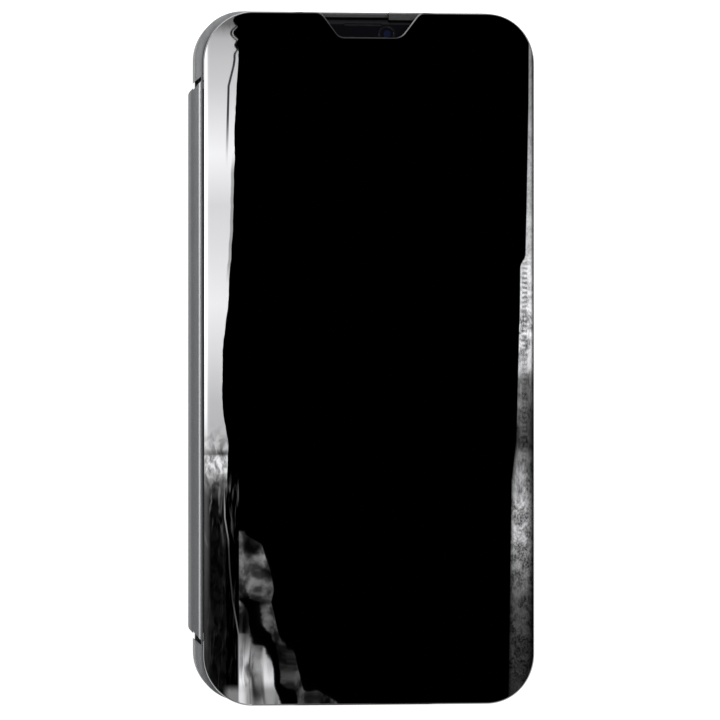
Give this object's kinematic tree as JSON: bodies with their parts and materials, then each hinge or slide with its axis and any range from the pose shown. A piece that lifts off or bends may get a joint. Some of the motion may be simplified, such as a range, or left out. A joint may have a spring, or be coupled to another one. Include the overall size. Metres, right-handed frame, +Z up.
{
  "type": "flip case with handset",
  "caption": "Thin touch-screen handset shut in a flip case: mirror cover with a notch, soft folding spine, hard back shell, side keys, card tray and inner modules.",
  "frame": {"origin": "on the table, under the middle of the closed case lying on its back", "axes": "+Z up out of the mirror cover, +Y towards the earpiece end with the notch, -X towards the spine"},
  "size_m": [0.08, 0.16, 0.012],
  "materials": {
    "shell_polycarbonate": "matte",
    "soft_touch_skin": "soft-touch, fine grain",
    "stiffener_board": "matte",
    "smoked_mirror": "polished",
    "microfibre": "napped",
    "black_glass": "polished",
    "anodised_aluminium": "satin",
    "lens_glass": "polished",
    "flash_diffuser": "frosted",
    "card_plastic": "matte",
    "display_stack": "polished",
    "battery_pouch": "matte foil",
    "polyimide_flex": "satin",
    "circuit_board": "solder mask",
    "stainless_steel": "satin",
    "moulded_module": "matte",
    "tungsten": "sintered"
  },
  "bodies": {
    "shell_and_handset": {"case_back_shell": "shell_polycarbonate", "back_fold": "soft_touch_skin", "cover_glass": "black_glass", "back_glass": "black_glass", "phone_frame": "anodised_aluminium", "camera_ring": "anodised_aluminium", "camera_glass": "lens_glass", "flash_window": "flash_diffuser", "display_panel": "display_stack", "battery": "battery_pouch", "battery_flex": "polyimide_flex", "main_board": "circuit_board", "sub_board": "circuit_board", "radio_shield": "stainless_steel", "processor_shield": "stainless_steel", "interconnect_flex": "polyimide_flex", "side_key_flex": "polyimide_flex", "rear_camera_main": "moulded_module", "rear_camera_wide": "moulded_module", "flash_led": "flash_diffuser", "front_camera": "moulded_module", "earpiece": "moulded_module", "loudspeaker": "moulded_module", "bottom_microphone": "stainless_steel", "vibration_motor": "stainless_steel", "usb_port": "stainless_steel", "usb_tongue": "moulded_module", "sim_reader": "stainless_steel", "board_screw_1": "stainless_steel", "board_screw_2": "stainless_steel", "board_screw_3": "stainless_steel", "board_screw_4": "stainless_steel", "board_screw_5": "stainless_steel", "board_screw_6": "stainless_steel"},
    "spine": {"spine_cover": "soft_touch_skin", "spine_stiffener": "stiffener_board", "front_fold": "soft_touch_skin"},
    "front_cover": {"cover_mirror_panel": "smoked_mirror", "cover_liner": "microfibre"},
    "power_button": {"power_button": "anodised_aluminium"},
    "volume_rocker": {"volume_rocker": "anodised_aluminium"},
    "sim_tray": {"sim_tray": "anodised_aluminium", "sim_card": "card_plastic"},
    "vibration_weight": {"vibration_weight": "tungsten"}
  },
  "joints": [
    {"name": "spine_fold", "type": "hinge", "parent": "shell_and_handset", "child": "spine", "pos_m": [-0.0393, -0.0006, 0.001], "axis": [0, -1, 0], "range_deg": [0, 90]},
    {"name": "cover_fold", "type": "hinge", "parent": "spine", "child": "front_cover", "pos_m": [-0.0382, -0.0006, 0.01025], "axis": [0, -1, 0], "range_deg": [0, 90]},
    {"name": "power_press", "type": "slide", "parent": "shell_and_handset", "child": "power_button", "axis": [-1, 0, 0], "range_m": [0, 0.00035], "stiffness_N_per_m": 3000},
    {"name": "volume_rock", "type": "hinge", "parent": "shell_and_handset", "child": "volume_rocker", "pos_m": [0.03535, 0.03445, 0.0042], "axis": [0, 0, 1], "range_deg": [-1.8, 1.8], "stiffness_Nm_per_rad": 0.6},
    {"name": "sim_tray_slide", "type": "slide", "parent": "shell_and_handset", "child": "sim_tray", "axis": [0, -1, 0], "range_m": [0, 0.018]},
    {"name": "vibration_spin", "type": "hinge", "parent": "shell_and_handset", "child": "vibration_weight", "pos_m": [-0.02, 0.0741, 0.0044], "axis": [1, 0, 0], "continuous": true}
  ]
}
